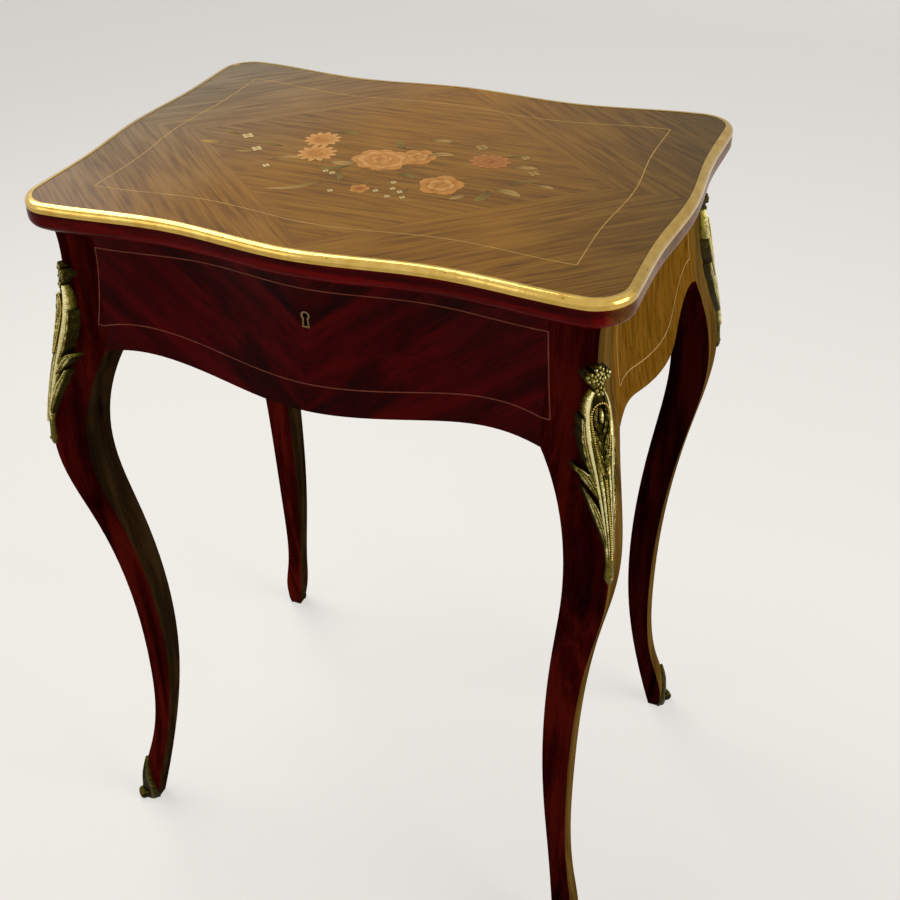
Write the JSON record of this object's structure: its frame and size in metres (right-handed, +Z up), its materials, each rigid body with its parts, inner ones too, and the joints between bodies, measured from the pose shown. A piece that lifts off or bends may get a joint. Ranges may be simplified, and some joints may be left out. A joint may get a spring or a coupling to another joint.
{
  "type": "poudreuse dressing table",
  "caption": "Poudreuse dressing table with a serpentine marquetry lid on hinges, compartments and a mirror inside, and slender cabriole legs with gilt-brass mounts.",
  "frame": {"origin": "on the floor under the middle of the table", "axes": "+X to the right seen from the front, +Y to the back, +Z up"},
  "size_m": [0.5206, 0.3826, 0.72],
  "materials": {
    "polished_dark_wood": "french polished",
    "lining_wood": "waxed",
    "marquetry_veneer": "french polished",
    "gilt_brass": "gilt and burnished",
    "plain_brass": "brushed",
    "lock_steel": "brushed",
    "mirror_glass": "polished"
  },
  "bodies": {
    "carcass": {"leg_front_left": "polished_dark_wood", "leg_front_right": "polished_dark_wood", "leg_back_left": "polished_dark_wood", "leg_back_right": "polished_dark_wood", "apron_front": "polished_dark_wood", "apron_back": "polished_dark_wood", "apron_left": "polished_dark_wood", "apron_right": "polished_dark_wood", "bottom_board": "lining_wood", "bottom_ledges": "lining_wood", "divider_left": "lining_wood", "divider_right": "lining_wood", "divider_middle": "lining_wood", "lock_case": "lock_steel", "lock_faceplate": "plain_brass", "lock_screws": "plain_brass", "keyhole_escutcheon": "plain_brass", "hinge_lower_leaf_left": "plain_brass", "hinge_lower_leaf_right": "plain_brass", "hinge_pin_left": "plain_brass", "hinge_pin_right": "plain_brass", "hinge_lower_screws": "plain_brass", "chute_front_left": "gilt_brass", "chute_front_right": "gilt_brass", "chute_back_left": "gilt_brass", "chute_back_right": "gilt_brass", "sabot_front_left": "gilt_brass", "sabot_front_right": "gilt_brass", "sabot_back_left": "gilt_brass", "sabot_back_right": "gilt_brass"},
    "lid": {"lid_board": "polished_dark_wood", "lid_edge_band": "gilt_brass", "top_veneer": "marquetry_veneer", "mirror_glass": "mirror_glass", "mirror_frame": "polished_dark_wood", "hinge_upper_leaf_left": "plain_brass", "hinge_upper_leaf_right": "plain_brass", "hinge_upper_screws": "plain_brass", "link_plate": "plain_brass", "link_plate_screws": "plain_brass"},
    "lock_bolt": {"lock_bolt": "lock_steel"}
  },
  "joints": [
    {"name": "lid_hinge", "type": "hinge", "parent": "carcass", "child": "lid", "pos_m": [0, 0.1645, 0.69515], "axis": [-1, 0, 0], "range_deg": [0, 96]},
    {"name": "lock_bolt_slide", "type": "slide", "parent": "carcass", "child": "lock_bolt", "axis": [1, 0, 0], "range_m": [0, 0.008]}
  ]
}
